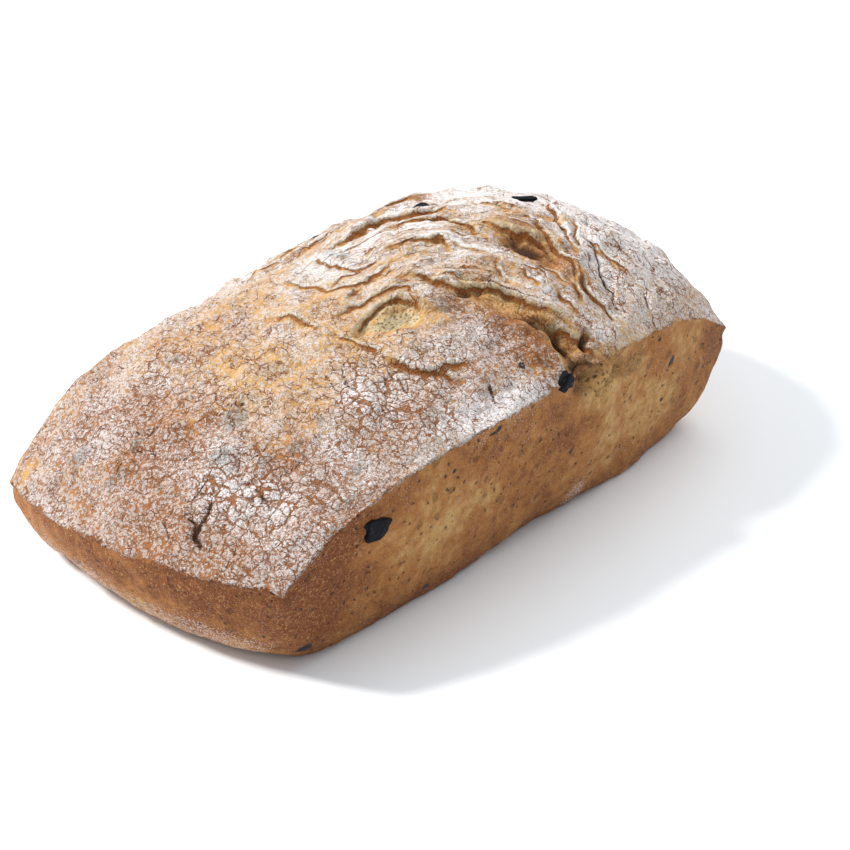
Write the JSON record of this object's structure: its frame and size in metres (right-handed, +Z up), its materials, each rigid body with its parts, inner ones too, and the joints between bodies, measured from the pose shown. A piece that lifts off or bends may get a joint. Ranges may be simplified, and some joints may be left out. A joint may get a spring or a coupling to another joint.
{
  "type": "olive ciabatta loaf",
  "caption": "Oblong flat-bottomed white loaf with a domed, floured and cracked crust, bare cut sides and pieces of black olive; for kitchen, bakery and table scenes.",
  "frame": {"origin": "middle of the loaf's overall length and width, on the surface it stands on", "axes": "+X along the loaf's length towards its taller end, +Y across its width, +Z up through the domed crust"},
  "size_m": [0.24, 0.136, 0.0835],
  "materials": {
    "crust": null
  },
  "bodies": {
    "root": {"loaf": "crust"}
  },
  "joints": []
}
